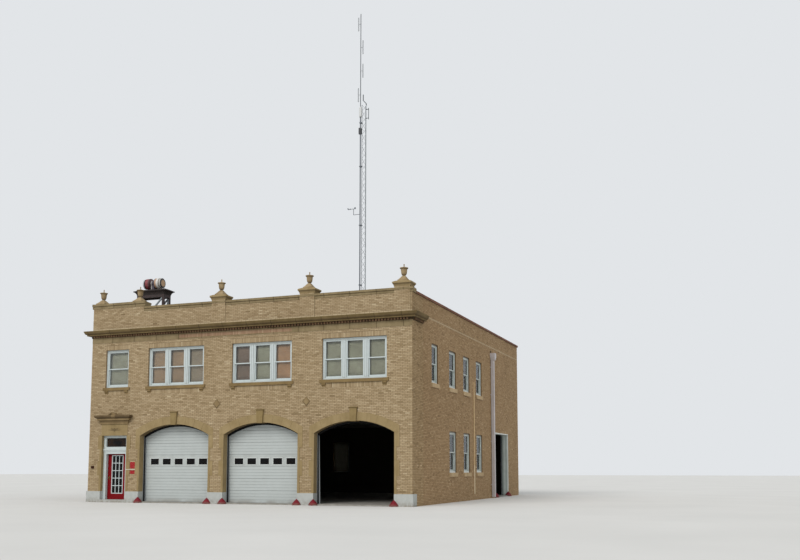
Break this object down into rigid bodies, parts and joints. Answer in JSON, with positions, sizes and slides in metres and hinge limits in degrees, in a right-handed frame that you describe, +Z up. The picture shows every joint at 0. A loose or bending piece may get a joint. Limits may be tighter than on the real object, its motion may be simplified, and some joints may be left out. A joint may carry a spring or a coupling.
{
  "type": "fire station building",
  "caption": "Brick fire station of two storeys with arched engine bays, a stone-framed entry door that opens, a moulded cornice, urns, a roof siren and a lattice mast.",
  "frame": {"origin": "middle of the plan at ground level, on the underside of the ground slab", "axes": "+X to the right along the front, +Y from the front to the rear, +Z up"},
  "size_m": [16.794, 19.72, 32.14],
  "materials": {
    "antenna_metal": "satin",
    "brown_metal": "satin",
    "cast_stone": "matte",
    "clay_tile": "matte",
    "common_brick": "matte",
    "concrete": "trowelled",
    "dark_steel": "satin",
    "face_brick": "matte",
    "glass": "clear",
    "grey_metal": "satin",
    "hinge_steel": "satin",
    "knob_brass": "polished",
    "mast_steel": "galvanized",
    "plain_sill": "matte",
    "red_iron": "painted",
    "red_wood": "painted",
    "roofing": "gravelled",
    "siren_paint": "satin",
    "track_steel": "galvanized",
    "white_door": "satin",
    "white_masonry": "painted",
    "white_wood": "painted"
  },
  "bodies": {
    "building": {"arch_surrounds": "cast_stone", "bay_door_1": "white_door", "bay_door_2": "white_door", "bay_door_3": "white_door", "bay_door_glass": "glass", "conduit": "brown_metal", "cornice": "cast_stone", "dentils": "cast_stone", "die_caps": "cast_stone", "door_tracks": "track_steel", "downspout": "grey_metal", "entry_frame": "white_wood", "entry_hood": "cast_stone", "entry_step": "white_masonry", "entry_surround": "cast_stone", "frame_hinges": "hinge_steel", "frieze_band": "cast_stone", "front_arch_wall": "face_brick", "front_coping": "cast_stone", "front_parapet": "face_brick", "front_piers": "face_brick", "front_upper_wall": "face_brick", "front_window_frames": "white_wood", "front_window_glass": "glass", "ground_slab": "concrete", "guard_domes": "red_iron", "keystones": "cast_stone", "left_wall": "common_brick", "mast_fixings": "mast_steel", "mast_head": "mast_steel", "mast_pole": "mast_steel", "mast_section_1": "mast_steel", "mast_section_2": "mast_steel", "mast_section_3": "mast_steel", "parapet_dies": "face_brick", "plinth": "white_masonry", "rear_wall": "common_brick", "right_lower_wall": "common_brick", "right_upper_wall": "common_brick", "roof_deck": "roofing", "side_bay_door": "white_door", "side_copings": "clay_tile", "side_parapets": "common_brick", "side_sills": "plain_sill", "side_window_frames": "white_wood", "side_window_glass": "glass", "siren": "siren_paint", "siren_platform": "dark_steel", "siren_stand": "dark_steel", "stone_diamonds": "cast_stone", "transom_glass": "glass", "upper_floor": "concrete", "urns": "cast_stone", "whip_antenna": "antenna_metal", "window_sills": "cast_stone"},
    "entry_door": {"entry_door": "red_wood", "entry_door_lites": "white_wood", "entry_door_glass": "glass", "entry_door_knob": "knob_brass", "door_hinges": "hinge_steel"}
  },
  "joints": [
    {"name": "entry_door_hinge", "type": "hinge", "parent": "building", "child": "entry_door", "pos_m": [-6.1075, -9.0005, 1.195], "axis": [0, 0, -1], "range_deg": [0, 100]}
  ]
}
